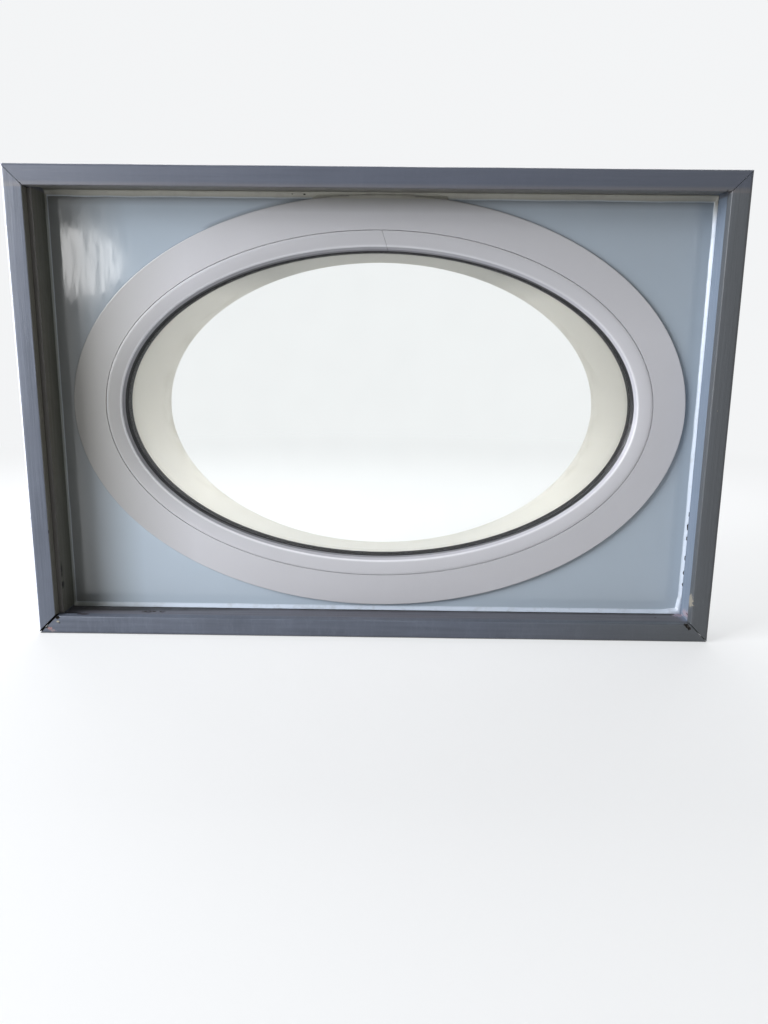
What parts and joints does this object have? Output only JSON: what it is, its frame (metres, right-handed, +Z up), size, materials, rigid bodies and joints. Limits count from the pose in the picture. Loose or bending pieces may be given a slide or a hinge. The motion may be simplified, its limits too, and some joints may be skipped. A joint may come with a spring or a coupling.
{
  "type": "porthole window",
  "caption": "Fixed oval window with double glazing, set in a flat infill panel inside a boxed, cased rectangular recess, with an oval reveal behind it.",
  "frame": {"origin": "middle of the rectangular casing, on the plane of its back face, which lies on the wall's room face", "axes": "+Z up, +Y out through the wall, room side facing -Y, +X to the right as seen from the room"},
  "size_m": [1.336, 0.355, 0.883],
  "materials": {
    "casing_paint": "slate paint on timber, brushed, satin",
    "raw_timber": "sawn, bare",
    "fixing_steel": "zinc plated",
    "panel_gloss": "glossy blue-grey white",
    "sealant": "satin, hand smoothed",
    "white_pvc": "satin white",
    "black_rubber": "matte",
    "clear_glass": "polished",
    "dark_spacer": "satin",
    "block_plastic": "matte",
    "cream_reveal": "smooth cream paint"
  },
  "bodies": {
    "root": {"casing_head": "casing_paint", "casing_right": "casing_paint", "casing_sill": "casing_paint", "casing_left": "casing_paint", "head_liner": "casing_paint", "right_liner": "casing_paint", "sill_liner": "casing_paint", "left_liner": "casing_paint", "batten_top_left": "raw_timber", "batten_top_right": "raw_timber", "batten_low_left": "raw_timber", "batten_low_right": "raw_timber", "casing_pins": "fixing_steel", "batten_screws": "fixing_steel", "liner_nails": "fixing_steel", "frame_screws": "fixing_steel", "infill_panel": "panel_gloss", "perimeter_caulk": "sealant", "oval_frame": "white_pvc", "glazing_bead": "white_pvc", "inner_gasket": "black_rubber", "outer_gasket": "black_rubber", "inner_pane": "clear_glass", "outer_pane": "clear_glass", "spacer_bar": "dark_spacer", "edge_seal": "black_rubber", "setting_blocks": "block_plastic", "reveal_sleeve": "cream_reveal", "sleeve_seal": "sealant"}
  },
  "joints": []
}
